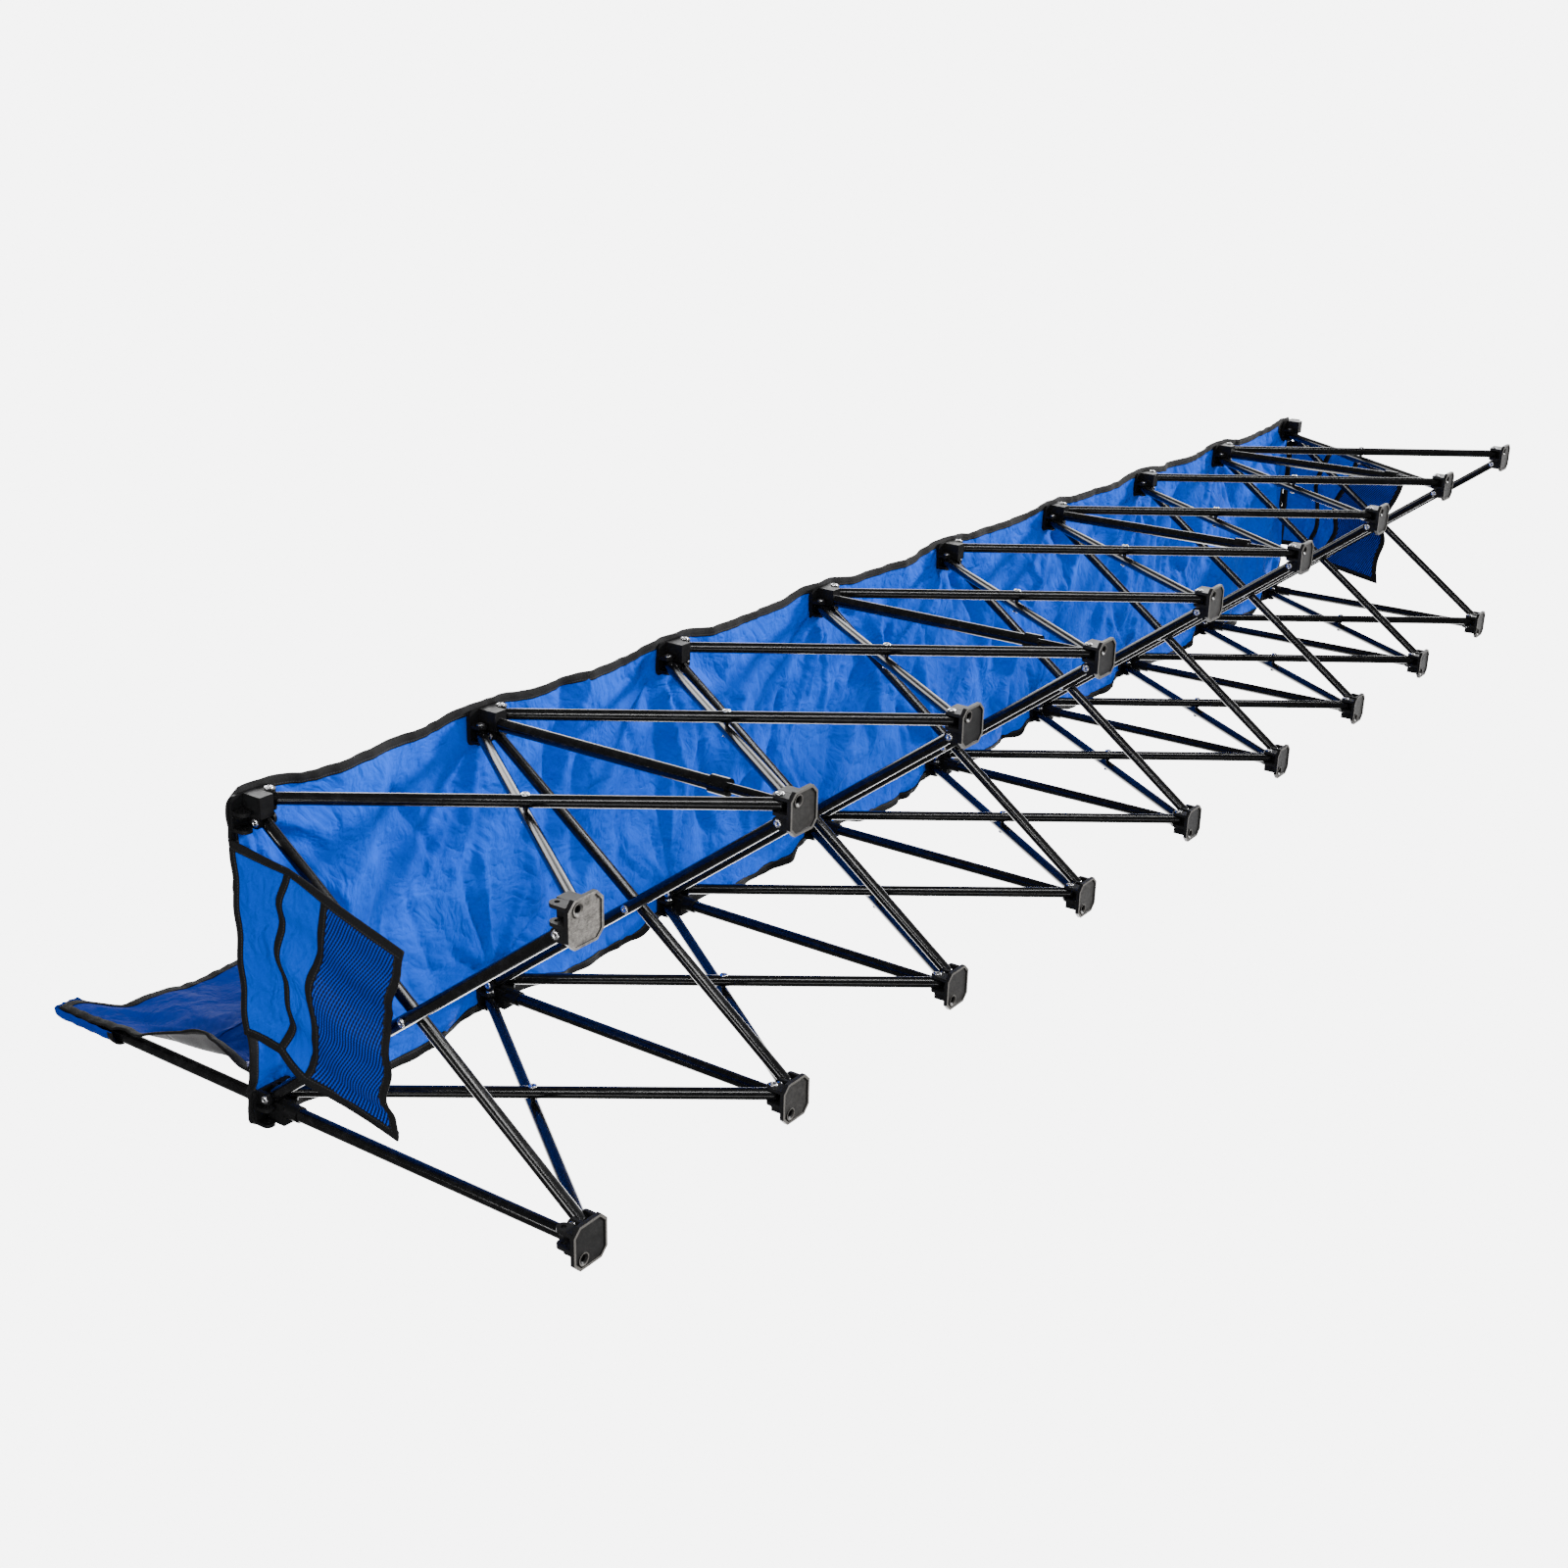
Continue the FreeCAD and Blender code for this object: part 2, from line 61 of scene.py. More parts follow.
class Nodes:
    """A material's node tree, with short ways to add nodes and join them."""

    def __init__(self, name):
        self.mat = bpy.data.materials.new(name)
        self.mat.use_nodes = True
        self.tree = self.mat.node_tree
        self.bsdf = next(n for n in self.tree.nodes if n.type == "BSDF_PRINCIPLED")
        self.out = next(n for n in self.tree.nodes if n.type == "OUTPUT_MATERIAL")

    def add(self, kind, **settings):
        node = self.tree.nodes.new("ShaderNode" + kind)
        for name, value in settings.items():
            if hasattr(node, name):
                setattr(node, name, value)
            else:
                node.inputs[name.replace("_", " ")].default_value = value
        return node

    def link(self, a, b):
        self.tree.links.new(a, b)

    def coords(self, space="Object", scale=(1, 1, 1), turn=(0, 0, 0)):
        place = self.add("TexCoord")
        mapping = self.add("Mapping")
        mapping.inputs["Scale"].default_value = scale
        mapping.inputs["Rotation"].default_value = turn
        self.link(place.outputs[space], mapping.inputs["Vector"])
        return mapping.outputs["Vector"]

    def noise(self, vector, scale, detail=3.0, rough=0.55):
        node = self.add("TexNoise", Scale=scale, Detail=detail, Roughness=rough)
        self.link(vector, node.inputs["Vector"])
        return node.outputs["Fac"]

    def wave(self, vector, scale, axis="X", distort=0.0):
        node = self.add("TexWave", bands_direction=axis, Scale=scale, Distortion=distort)
        self.link(vector, node.inputs["Vector"])
        return node.outputs["Fac"]

    def ramp(self, value, stops):
        node = self.add("ValToRGB")
        line = node.color_ramp
        while len(line.elements) < len(stops):
            line.elements.new(0.5)
        for element, (at, colour) in zip(line.elements, stops):
            element.position = at
            element.color = (*colour, 1) if hasattr(colour, "__len__") else (colour,) * 3 + (1,)
        self.link(value, node.inputs["Fac"])
        return node.outputs["Color"]

    def math(self, how, a, b=None, c=None):
        node = self.add("Math", operation=how)
        for socket, value in zip(node.inputs, (a, b, c)):
            if value is None:
                continue
            if isinstance(value, (int, float)):
                socket.default_value = value
            else:
                self.link(value, socket)
        return node.outputs[0]

    def mix(self, fac, a, b):
        node = self.add("Mix", data_type="RGBA")
        for name, value in (("Factor", fac), ("A", a), ("B", b)):
            socket = next(
                s for s in node.inputs if s.name == name and s.enabled and s.type != "VECTOR"
            )
            if isinstance(value, tuple):
                socket.default_value = (*value, 1)
            elif isinstance(value, float):
                socket.default_value = value
            else:
                self.link(value, socket)
        return next(s for s in node.outputs if s.enabled)

    def bump(self, height, strength, distance, under=None):
        node = self.add("Bump", Strength=strength, Distance=distance)
        self.link(height, node.inputs["Height"])
        if under is not None:
            self.link(under, node.inputs["Normal"])
        return node.outputs["Normal"]

    def add_vector(self, value, size):
        """value, 0 to 1, as a push of up to size along both flat axes."""
        node = self.add("CombineXYZ")
        push = self.math("MULTIPLY", self.math("SUBTRACT", value, 0.5), size)
        self.link(push, node.inputs[0])
        self.link(push, node.inputs[1])
        return node.outputs[0]

    def set(self, **values):
        for name, value in values.items():
            socket = self.bsdf.inputs[name.replace("_", " ")]
            if isinstance(value, (int, float)):
                socket.default_value = value
            elif isinstance(value, tuple):
                socket.default_value = (*value, 1)
            else:
                self.link(value, socket)
        return self.mat


def powder_coat(name):
    """Gloss black paint on steel, with a little dust and handling haze."""
    n = Nodes(name)
    at = n.coords()
    cloud = n.noise(at, 9, 3)
    dust = n.noise(at, 90, 3, 0.6)
    peel = n.noise(at, 420, 1)
    dusty = n.ramp(dust, [(0.50, 0.0), (0.85, 1.0)])
    colour = n.mix(dusty, (0.0018, 0.0018, 0.0020), (0.008, 0.008, 0.0085))
    rough = n.math("ADD", n.math("MULTIPLY", cloud, 0.12), n.math("MULTIPLY", dust, 0.05))
    return n.set(
        Base_Color=colour,
        Roughness=n.math("ADD", rough, 0.09),
        Specular_IOR_Level=0.33,
        Normal=n.bump(peel, 0.05, 0.00008),
    )


def moulded(name, base, worn=None):
    """Black moulded plastic. worn adds a scuffed grey wear to faces that point down."""
    n = Nodes(name)
    at = n.coords()
    cloud = n.noise(at, 60, 4)
    grain = n.noise(at, 1400, 3)
    scratch = n.noise(n.coords(scale=(1, 9, 1), turn=(0, 0, 0.5)), 320, 5, 0.7)
    colour = n.mix(cloud, base, tuple(c * 1.9 for c in base))
    roughness = n.ramp(cloud, [(0.3, 0.28), (0.7, 0.42)])
    height = n.math("ADD", n.math("MULTIPLY", grain, 0.4), n.math("MULTIPLY", scratch, 0.3))
    if worn:
        normal = n.add("SeparateXYZ")
        n.link(n.add("NewGeometry").outputs["Normal"], normal.inputs[0])
        down = n.math("GREATER_THAN", n.math("MULTIPLY", normal.outputs["Z"], -1.0), 0.8)
        place = n.add("SeparateXYZ")
        n.link(n.add("TexCoord").outputs["Object"], place.inputs[0])
        sole = n.math("MULTIPLY", down, n.math("LESS_THAN", place.outputs["Z"], 0.0016))
        rim = n.math("MULTIPLY", down, n.math("LESS_THAN", place.outputs["Z"], 0.0006))
        foot = n.ramp(n.noise(at, 2.3, 1), [(0.40, 0.02), (0.62, 0.16)])
        # the front foot of the first station is the most worn
        corner = n.math("MULTIPLY", n.math("LESS_THAN", place.outputs["X"], -1.3),
                        n.math("LESS_THAN", place.outputs["Y"], 0.0))
        foot = n.math("MAXIMUM", foot, corner)
        patch = n.ramp(n.noise(at, 130, 6, 0.75), [(0.34, 0.35), (0.62, 1.0)])
        rub = n.ramp(scratch, [(0.35, 0.25), (0.65, 1.0)])
        wear = n.math("MULTIPLY", sole, n.math("MULTIPLY", foot, n.math("MULTIPLY", patch, rub)))
        wear = n.math("MAXIMUM", wear, n.math("MULTIPLY", rim, n.math("MULTIPLY", rub, 0.45)))
        colour = n.mix(wear, colour, worn)
        roughness = n.mix(wear, roughness, (0.7, 0.7, 0.7))
    return n.set(
        Base_Color=colour,
        Roughness=roughness,
        Specular_IOR_Level=0.09,
        Normal=n.bump(height, 0.25, 0.0005),
    )


def polyester(name, deep, bright, specular=0.22):
    """Plain woven cloth with slub, pressed creases and fine wrinkles. UV is metres on the flat."""
    n = Nodes(name)
    at = n.coords("UV")
    warp = n.wave(at, 420, "X", 0.6)
    weft = n.wave(at, 420, "Y", 0.6)
    slub = n.noise(n.coords("UV", scale=(1, 6, 1)), 260, 4, 0.6)
    slub2 = n.noise(n.coords("UV", scale=(6, 1, 1)), 260, 4, 0.6)
    cloud = n.noise(at, 7, 4)
    fleck = n.ramp(n.math("MULTIPLY", slub, slub2), [(0.16, 0.0), (0.40, 1.0)])
    colour = n.mix(cloud, deep, bright)
    colour = n.mix(n.math("MULTIPLY", fleck, 0.3), colour, tuple(min(1, c * 1.35) for c in bright))
    # wrinkles: thin ridges where a warped noise crosses its middle
    bend = n.noise(at, 6, 3)
    warped = n.add("VectorMath", operation="ADD")
    n.link(at, warped.inputs[0])
    n.link(n.add_vector(bend, 0.12), warped.inputs[1])
    ridge = n.math("ABSOLUTE", n.math("SUBTRACT", n.noise(warped.outputs[0], 11, 4, 0.5), 0.5))
    small = n.math("ABSOLUTE", n.math("SUBTRACT", n.noise(warped.outputs[0], 42, 3, 0.5), 0.5))
    crease = n.math("ADD", n.math("MULTIPLY", ridge, 1.0), n.math("MULTIPLY", small, 0.22))
    weave = n.math("ADD", n.math("MULTIPLY", warp, weft), n.math("MULTIPLY", slub, 0.8))
    normal = n.bump(crease, 0.8, 0.030)
    n.set(
        Base_Color=colour,
        Roughness=n.ramp(cloud, [(0.3, 0.62), (0.7, 0.74)]),
        Specular_IOR_Level=specular,
        Normal=n.bump(weave, 0.16, 0.0003, normal),
    )
    return n.mat


def webbing(name, base):
    """Ribbed binding tape. UV runs along the tape (U) and across it (V), in metres."""
    n = Nodes(name)
    at = n.coords("UV")
    rib = n.wave(at, 300, "X")
    lint = n.noise(at, 500, 5, 0.7)
    linty = n.ramp(lint, [(0.45, 0.0), (0.75, 0.6)])
    colour = n.mix(linty, base, tuple(c * 2.5 + 0.002 for c in base))
    # a line of stitches near the inner edge, on both sides of the tape
    split = n.add("SeparateXYZ")
    n.link(at, split.inputs[0])
    dash = n.math("LESS_THAN", n.math("FRACT", n.math("MULTIPLY", split.outputs["X"], 285)), 0.62)
    line = n.math("MAXIMUM", *(
        n.math("LESS_THAN", n.math("ABSOLUTE", n.math("SUBTRACT", split.outputs["Y"], v)), 0.00045)
        for v in (0.0042, 0.0258)
    ))
    stitch = n.math("MULTIPLY", dash, line)
    height = n.math("ADD", rib, n.math("ADD", n.math("MULTIPLY", lint, 0.6), stitch))
    colour = n.mix(stitch, colour, (0.022, 0.022, 0.024))
    n.set(
        Base_Color=colour,
        Roughness=0.8,
        Specular_IOR_Level=0.12,
        Normal=n.bump(height, 0.4, 0.0006),
    )
    return n.mat


def heather(name):
    n = Nodes(name)
    at = n.coords("UV")
    fleck = n.noise(at, 700, 4, 0.8)
    cloud = n.noise(at, 25, 3)
    flecked = n.ramp(fleck, [(0.40, 0.0), (0.66, 1.0)])
    colour = n.mix(flecked, (0.008, 0.008, 0.009), (0.045, 0.045, 0.047))
    return n.set(
        Base_Color=colour,
        Roughness=n.ramp(cloud, [(0.2, 0.75), (0.8, 0.9)]),
        Sheen_Weight=0.2,
        Normal=n.bump(fleck, 0.3, 0.0005),
    )


def mesh_cloth(name):
    """Knitted mesh: staggered holes in slanting rows, black in the holes, with painted shade on the
    threads that darkens them towards each hole.
    """
    n = Nodes(name)
    size = 1 / 0.0034
    at = n.coords("UV", scale=(size * 0.8, size, 1), turn=(0, 0, 0.42))
    split = n.add("SeparateXYZ")
    n.link(at, split.inputs[0])
    row = n.math("FLOOR", split.outputs["Y"])
    odd = n.math("MULTIPLY", n.math("MODULO", n.math("ABSOLUTE", row), 2.0), 0.5)
    u = n.math("SUBTRACT", n.math("FRACT", n.math("ADD", split.outputs["X"], odd)), 0.5)
    v = n.math("SUBTRACT", n.math("FRACT", split.outputs["Y"]), 0.5)
    flat_u = n.math("MULTIPLY", u, 0.62)
    away = n.math("SQRT", n.math("ADD", n.math("POWER", flat_u, 2.0), n.math("POWER", v, 2.0)))
    # painted shade: the threads go from their lit colour through painted shade to black towards
    # each hole
    hole, shade, lit = (0.0, 0.001, 0.010), (0.0, 0.008, 0.11), (0.0, 0.036, 0.38)
    yarn_shaded = n.ramp(away, [(0.24, hole), (0.32, shade), (0.47, lit)])
    n.set(Base_Color=yarn_shaded, Roughness=0.6, Specular_IOR_Level=0.1, Normal=n.bump(away, 0.6, 0.0012))
    return n.mat


def bright_metal(name):
    n = Nodes(name)
    at = n.coords()
    smear = n.noise(at, 700, 4, 0.7)
    colour = n.mix(smear, (0.62, 0.62, 0.64), (0.86, 0.86, 0.87))
    return n.set(
        Base_Color=colour,
        Metallic=1.0,
        Roughness=n.ramp(smear, [(0.3, 0.18), (0.7, 0.38)]),
        Normal=n.bump(smear, 0.15, 0.0003),
    )


def thread(name, base):
    n = Nodes(name)
    at = n.coords()
    twist = n.noise(at, 2500, 2)
    return n.set(
        Base_Color=n.mix(twist, tuple(c * 0.75 for c in base), base),
        Roughness=0.6,
        Normal=n.bump(twist, 0.4, 0.0004),
    )


STEEL = powder_coat("powder_coat")
HUB = moulded("hub_moulding", (0.0028, 0.0028, 0.003))
SOLE = moulded("foot_moulding", (0.006, 0.006, 0.0063), worn=(0.27, 0.255, 0.235))
BLUE = polyester("blue_cloth", (0.0, 0.023, 0.26), (0.0, 0.056, 0.41), 0.02)
BLUE_BACK = polyester("blue_back_cloth", (0.0, 0.010, 0.13), (0.0, 0.020, 0.20), 0.015)
TAPE = webbing("black_binding", (0.0032, 0.0032, 0.0034))
LINING = heather("grey_lining")
MESH = mesh_cloth("blue_mesh")
METAL = bright_metal("rivet_metal")
LILAC = thread("pale_thread", (0.42, 0.42, 0.72))

NODE_MATERIAL = {
    "seat_hubs": HUB,
    "feet": SOLE,
    "back_post": STEEL,
    "side_braces": STEEL,
    "falling_tubes": STEEL,
    "rising_tubes": STEEL,
    "prop_sleeve": STEEL,
}
for name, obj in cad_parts.items():
    finish = NODE_MATERIAL.get(name.rsplit("_", 1)[0])
    if finish:
        for index in range(len(obj.material_slots)):
            obj.material_slots[index].material = finish


# ---------------------------------------------------------------- mesh helpers


def mesh_piece(name, verts, faces, material, body, uv=None, smooth=True):
    """A mesh object from plain lists, riding on a body. uv is one pair for each vertex."""
    data = bpy.data.meshes.new(name)
    data.from_pydata([tuple(map(float, v)) for v in verts], [], [tuple(map(int, f)) for f in faces])
    for each in material if isinstance(material, (list, tuple)) else [material]:
        data.materials.append(each)
    if smooth:
        data.polygons.foreach_set("use_smooth", [True] * len(data.polygons))
    if uv is not None:
        layer = data.uv_layers.new(name="UVMap")
        corner = np.empty(len(data.loops), int)
        data.loops.foreach_get("vertex_index", corner)
        layer.data.foreach_set("uv", np.asarray(uv, float)[corner].ravel())
    data.update()
    obj = bpy.data.objects.new(name, data)
    bpy.context.scene.collection.objects.link(obj)
    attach(obj, body)
    return obj


def unit(v):
    v = np.asarray(v, float)
    return v / np.maximum(np.linalg.norm(v, axis=-1, keepdims=True), 1e-12)


def grid_faces(rows, cols):
    return [
        (r * cols + c, r * cols + c + 1, (r + 1) * cols + c + 1, (r + 1) * cols + c)
        for r in range(rows - 1)
        for c in range(cols - 1)
    ]


def grid_normals(points):
    """Normals of a (rows, cols, 3) grid of points."""
    down = np.gradient(points, axis=0)
    across = np.gradient(points, axis=1)
    return unit(np.cross(across, down))


def thick_sheet(points, flat, thickness, keep=None):
    """Vertices, faces, UVs and face sides of a closed thin sheet over a grid of points.

    flat is the (rows, cols, 2) place of each point on the flat cloth; keep marks the cells
    that are cloth. The front side is the one that the grid's normals point to."""
    rows, cols = points.shape[:2]
    if keep is None:
        keep = np.ones((rows - 1, cols - 1), bool)
    normals = grid_normals(points)
    front = (points + normals * thickness / 2).reshape(-1, 3)
    back = (points - normals * thickness / 2).reshape(-1, 3)
    count = rows * cols
    faces, sides = [], []
    edges = {}
    for r in range(rows - 1):
        for c in range(cols - 1):
            if not keep[r, c]:
                continue
            a, b = r * cols + c, r * cols + c + 1
            d, e = b + cols, a + cols
            faces.append((a, b, d, e))
            sides.append(0)
            faces.append((e + count, d + count, b + count, a + count))
            sides.append(1)
            for one, two in ((a, b), (b, d), (d, e), (e, a)):
                if (two, one) in edges:
                    del edges[(two, one)]
                else:
                    edges[(one, two)] = True
    for one, two in edges:
        faces.append((two, one, one + count, two + count))
        sides.append(0)
    verts = np.vstack([front, back])
    uv = np.vstack([flat.reshape(-1, 2)] * 2)
    used = np.unique(np.array(faces).ravel())
    index = np.full(len(verts), -1)
    index[used] = np.arange(len(used))
    faces = [tuple(index[list(f)]) for f in faces]
    return verts[used], faces, uv[used], sides


def tape(name, path, inward, normal, width, thick, body, closed=False,
         outside=0.0012, material=None):
    """Binding folded over an edge. path runs along the edge; inward and normal are unit
    vectors at each of its points."""
    path, inward, normal = (np.asarray(a, float) for a in (path, inward, normal))
    inward = unit(inward)
    normal = unit(normal - inward * np.sum(normal * inward, axis=1, keepdims=True))
    half = thick / 2
    section = [
        (width - outside, half * 0.55),
        (width - outside - 0.0008, half * 0.8),
        (width * 0.5, half),
        (0.0005, half),
        (-outside * 0.8, half * 0.6),
        (-outside, 0.0),
        (-outside * 0.8, -half * 0.6),
        (0.0005, -half),
        (width * 0.5, -half),
        (width - outside - 0.0008, -half * 0.8),
        (width - outside, -half * 0.55),
    ]
    sides = len(section)
    verts, uv = [], []
    step = np.linalg.norm(np.diff(path, axis=0), axis=1)
    run = np.concatenate([[0], np.cumsum(step)])
    for p, i, m, s in zip(path, inward, normal, run):
        for n, (a, b) in enumerate(section):
            verts.append(p + i * a + m * b)
            uv.append((s, n * 0.003))
    count = len(path)
    faces = []
    for k in range(count if closed else count - 1):
        here, there = k * sides, ((k + 1) % count) * sides
        for n in range(sides):
            m = (n + 1) % sides
            faces.append((here + n, here + m, there + m, there + n))
    if not closed:
        faces.append(tuple(range(sides))[::-1])
        faces.append(tuple((count - 1) * sides + n for n in range(sides)))
    return mesh_piece(name, verts, faces, material or TAPE, body, uv)


def smooth_line(points, times=2, closed=False):
    points = np.asarray(points, float).copy()
    for _ in range(times):
        if closed:
            points = (np.roll(points, 1, 0) + 2 * points + np.roll(points, -1, 0)) / 4
        else:
            points[1:-1] = (points[:-2] + 2 * points[1:-1] + points[2:]) / 4
    return points


def settled(name, points, pinned, gravity, frames, grow, stiffness, bending):
    """A grid of points after Blender's cloth has let it hang from its pinned points."""
    rows, cols = points.shape[:2]
    faces = grid_faces(rows, cols)
    data = bpy.data.meshes.new(name)
    data.from_pydata([tuple(p) for p in points.reshape(-1, 3)], [], faces)
    obj = bpy.data.objects.new(name, data)
    scene = bpy.context.scene
    scene.collection.objects.link(obj)
    group = obj.vertex_groups.new(name="pinned")
    group.add([int(k) for k in np.flatnonzero(pinned.ravel())], 1.0, "REPLACE")
    cloth = obj.modifiers.new("cloth", "CLOTH")
    s = cloth.settings
    s.quality = 6
    s.mass = 0.0006
    s.tension_stiffness = s.compression_stiffness = stiffness
    s.shear_stiffness = stiffness * 0.5
    s.bending_stiffness = bending
    s.tension_damping = s.compression_damping = s.shear_damping = 8
    s.bending_damping = 0.6
    s.air_damping = 1.5
    s.vertex_group_mass = "pinned"
    s.pin_stiffness = 5
    s.shrink_min = -grow
    cloth.collision_settings.use_collision = False
    cloth.collision_settings.use_self_collision = False
    scene.use_gravity = True
    scene.gravity = gravity
    cloth.point_cache.frame_start, cloth.point_cache.frame_end = 1, frames
    for at in range(1, frames + 1):
        scene.frame_set(at)
    got = obj.evaluated_get(bpy.context.evaluated_depsgraph_get()).to_mesh()
    out = np.empty(len(got.vertices) * 3)
    got.vertices.foreach_get("co", out)
    bpy.data.objects.remove(obj)
    scene.frame_set(1)
    return out.reshape(rows, cols, 3)


def relax(points):
    """Takes the cell-sized jitter out of a settled grid."""
    p, q = points, points.copy()
    q[1:-1, 1:-1] = (
        p[1:-1, 1:-1] * 4 + p[:-2, 1:-1] + p[2:, 1:-1] + p[1:-1, :-2] + p[1:-1, 2:]
    ) / 8
    return q


def edge_of(points, side, inset=1):
    """Path, inward direction and normal along one side of a grid: 0 and 1 are the first
    and last row, 2 and 3 the first and last column."""

    def seen(grid):
        """The grid, turned so that the side asked for is its first row."""
        grid = grid if side < 2 else grid.transpose(1, 0, 2)
        return grid[::-1] if side % 2 else grid

    p, n = seen(points), seen(grid_normals(points))
    return p[0], unit(p[inset] - p[0]), n[0]


def bound_edge(name, points, width, thick, body, bare=None):
    """One binding right round a grid of points. bare is "first" or "last" for a row left out."""
    rows, cols = points.shape[:2]
    first = [(0, c) for c in range(cols)]
    right = [(r, cols - 1) for r in range(1, rows)]
    last = [(rows - 1, c) for c in range(cols - 2, -1, -1)]
    left = [(r, 0) for r in range(rows - 2, 0, -1)]
    if bare == "last":
        ring = [(rows - 1, 0)] + left + first + right
    elif bare == "first":
        ring = [(0, cols - 1)] + right + last + left + [(0, 0)]
    else:
        ring = first + right + last + left
    r, c = np.array(ring).T
    path = points[r, c]
    inner = points[np.clip(r, 1, rows - 2), np.clip(c, 1, cols - 2)]
    if bare:
        # the ends of an open binding point straight into the cloth
        inner[0], inner[-1] = points[r[0], abs(c[0] - 1)], points[r[-1], abs(c[-1] - 1)]
    inward = smooth_line(unit(inner - path), 3, not bare)
    normal = smooth_line(grid_normals(points)[r, c], 2, not bare)
    return tape(name, path, inward, normal, width, thick, body, closed=not bare)


# ---------------------------------------------------------------- seat

rng = np.random.default_rng(11)
SEAT_HALF = 1.4295
BINDING = 0.0125  # width of the folded tape on the edges
SEAT_Y0, SEAT_Y1 = FRONT - 0.0235, REAR + 0.0265


def smoothstep(t):
    t = np.clip(t, 0, 1)
    return t * t * (3 - 2 * t)


def seat_edges(x):
    """Front and rear Y of the flat seat at x: both edges are cut back beside the hubs."""
    gap = x[:, None] - np.array(XS)[None]
    nearest = np.argmin(np.abs(gap), axis=1)
    off = gap[np.arange(len(x)), nearest]
    front = SEAT_Y0 + 0.008 * smoothstep((np.abs(off) - 0.025) / 0.07)
    left = smoothstep((-off - 0.038) / 0.030)
    right = smoothstep((off - 0.085) / 0.065)
    inside = (nearest > 0) | (off > 0)
    inside &= (nearest < STATIONS - 1) | (off < 0)
    rear = SEAT_Y1 + 0.017 * np.where(off < 0, left, right) * inside
    return front, rear


def finer(points):
    """The grid with a new point between each pair, on a smooth curve."""
    for axis in (0, 1):
        p = np.moveaxis(points, axis, 0)
        out = np.empty((2 * len(p) - 1,) + p.shape[1:])
        out[::2] = p
        ends = np.concatenate([2 * p[:1] - p[1:2], p, 2 * p[-1:] - p[-2:-1]])
        out[1::2] = (9 * (p[:-1] + p[1:]) - ends[:-3] - ends[3:]) / 16
        points = np.moveaxis(out, 0, axis)
    return points


def fold_lines(flat, lines):
    """Height of soft creases: each is a start, an angle, a length, a width and a height."""
    total = np.zeros(flat.shape[:2])
    for x, y, angle, length, width, height in lines:
        dx, dy = flat[..., 0] - x, flat[..., 1] - y
        along = dx * math.cos(angle) + dy * math.sin(angle)
        across = -dx * math.sin(angle) + dy * math.cos(angle)
        across = across + 0.06 * along * np.sin(along / length * 3.0 + height * 2000)
        spread = width * (0.5 + 0.9 * np.clip(along / length, 0, 1))
        window = smoothstep(along / (0.15 * length) + 0.3)
        window = window * smoothstep((length - along) / (0.5 * length))
        total += height * window * np.exp(-(np.sqrt((across / spread) ** 2 + 0.05)) * 1.5)
    return total


def seat_folds():
    lines = []
    for i, x in enumerate(XS):
        for y, turn in ((FRONT + 0.012, 90), (REAR - 0.012, -90)):
            for k in range(7):
                angle = math.radians(turn + rng.uniform(-72, 72))
                outward = {0: -1, STATIONS - 1: 1}.get(i, 0) * math.cos(angle)
                if outward > 0.2:
                    continue
                start = rng.uniform(0.018, 0.03)
                lines.append(
                    (
                        x + start * math.cos(angle),
                        y + start * math.sin(angle),
                        angle,
                        rng.uniform(0.08, 0.24),
                        rng.uniform(0.006, 0.013),
                        rng.choice((-1, 1)) * rng.uniform(0.004, 0.010),
                    )
                )
    for bay in range(STATIONS - 1):
        for k in range(5):
            lines.append(
                (
                    XS[bay] + rng.uniform(0.04, 0.31),
                    rng.uniform(-0.19, 0.0),
                    math.radians(rng.uniform(55, 125)),
                    rng.uniform(0.20, 0.40),
                    rng.uniform(0.024, 0.042),
                    rng.choice((-1, 1)) * rng.uniform(0.008, 0.015),
                )
            )
        for k in range(8):
            lines.append(
                (
                    XS[bay] + rng.uniform(0.05, 0.30),
                    rng.uniform(-0.16, 0.10),
                    math.radians(rng.uniform(35, 145)),
                    rng.uniform(0.10, 0.26),
                    rng.uniform(0.008, 0.020),
                    rng.choice((-1, 1)) * rng.uniform(0.0035, 0.009),
                )
            )
    return lines


cols = 285
rows = 42
seat_x = np.linspace(-SEAT_HALF, SEAT_HALF, cols)
front_y, rear_y = seat_edges(seat_x)
share = np.linspace(0, 1, rows)[:, None]
flat_y = front_y[None] * (1 - share) + rear_y[None] * share
flat_x = np.repeat(seat_x[None], rows, axis=0)
# the ends are a little wider at the rear
cut_y = [-0.145, -0.091, -0.038, 0.020, 0.079, 0.128, 0.185]
cut_x = [0.0040, 0.0035, 0.0030, 0.0020, 0.0010, 0.0010, 0.0]
cut = np.interp(flat_y[:, 0], cut_y, cut_x)
for c in range(8):
    flat_x[:, c] += cut * (1 - c / 8)
    flat_x[:, -1 - c] -= cut * (1 - c / 8)
# rounded corners: the last columns close in where the outline turns
CORNER = 0.017
depth_in = np.minimum(np.arange(rows), np.arange(rows)[::-1]) * (SEAT_Y1 - SEAT_Y0) / (rows - 1)
pull = CORNER - np.sqrt(CORNER**2 - np.clip(CORNER - depth_in, 0, CORNER) ** 2)
for c, part in enumerate((1.0, 0.55, 0.25, 0.08)):
    flat_x[:, c] += pull * part
    flat_x[:, -1 - c] -= pull * part
seat_flat = np.stack([flat_x, flat_y], axis=2)

station_gap = flat_x[:, :, None] - np.array(XS)[None, None]
near_station = np.min(np.abs(station_gap), axis=2)
at_hub = np.zeros((rows, cols), bool)
for y in (FRONT, REAR):
    at_hub |= (near_station < 0.019) & (np.abs(flat_y - y) < 0.018)

